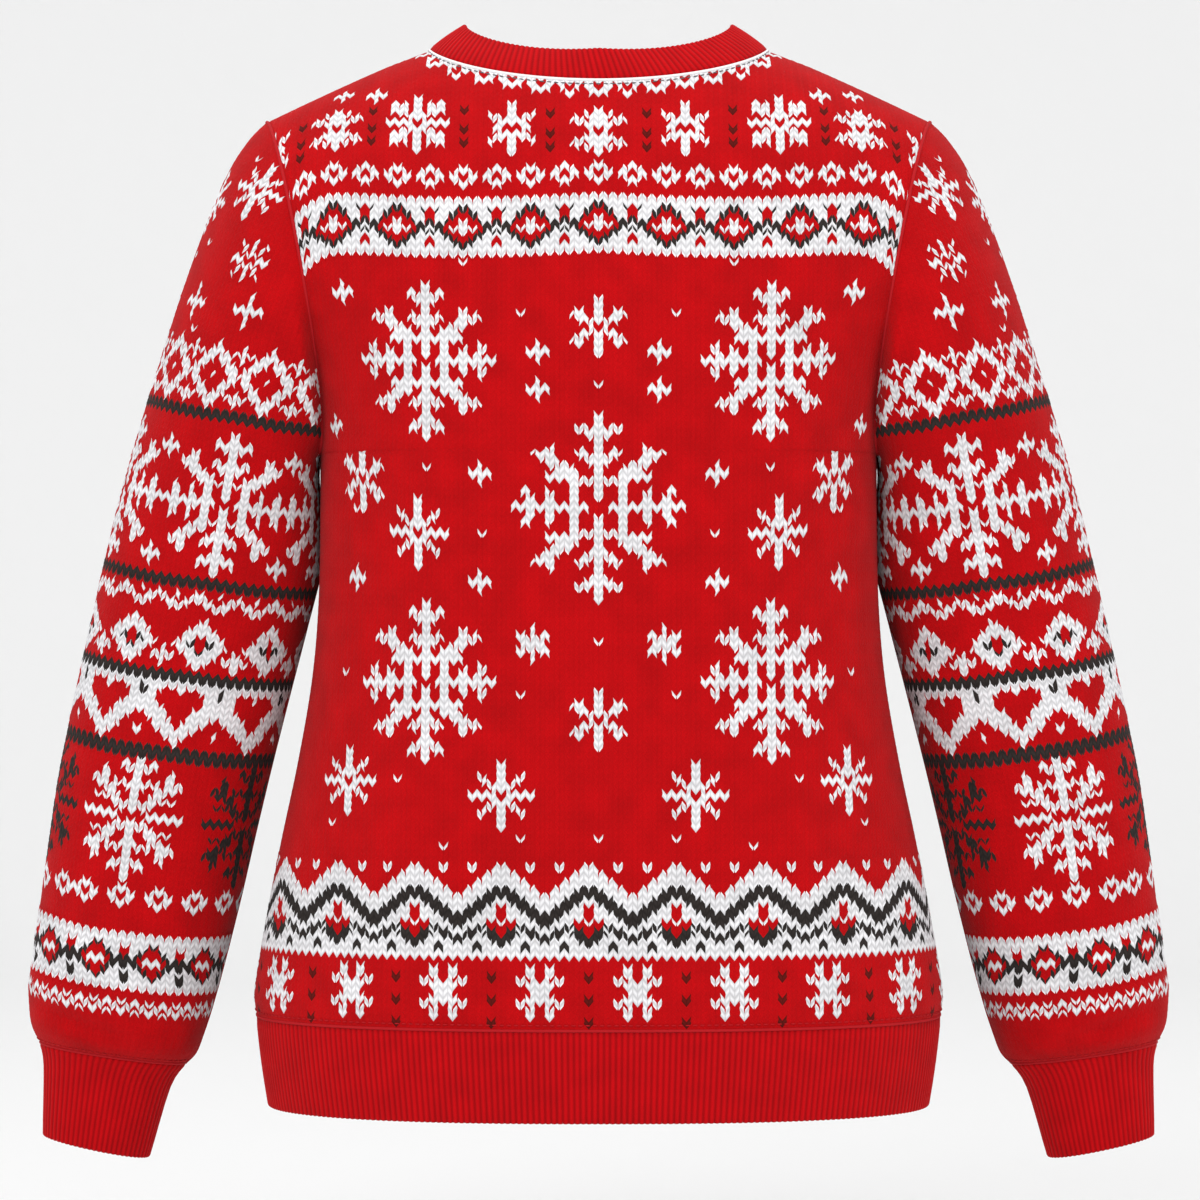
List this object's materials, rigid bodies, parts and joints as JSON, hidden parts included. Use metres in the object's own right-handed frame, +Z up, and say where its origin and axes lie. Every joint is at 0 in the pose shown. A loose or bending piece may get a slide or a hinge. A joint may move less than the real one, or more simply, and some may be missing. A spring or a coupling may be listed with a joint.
{
  "type": "christmas sweater",
  "caption": "Knitted pullover with traditional snowflake, heart and diamond bands, round neck, long set-in sleeves and ribbed neck, cuffs and hem, filled out hollow as when it is worn.",
  "frame": {"origin": "on the centre line, midway between front and back, level with the points where the neck seam meets the shoulder seams, at the mount worn_shoulders", "axes": "+Z up, X across the shoulders, the back faces -Y and the front faces +Y"},
  "size_m": [0.7128, 0.2342, 0.7034],
  "materials": {
    "knit_body": "brushed wool-like knit in red, white and charcoal",
    "knit_sleeve": "brushed wool-like knit in red, white and charcoal",
    "rib": "plain red ribbing, matt",
    "seam_tape": "thin white piping and thread at the neck seam",
    "thread": "red sewing thread"
  },
  "bodies": {
    "root": {"back_panel": "knit_body", "front_panel": "knit_body", "sleeve_left": "knit_sleeve", "sleeve_right": "knit_sleeve", "neck_rib": "rib", "hem_rib": "rib", "cuff_left": "rib", "cuff_right": "rib"}
  },
  "joints": []
}
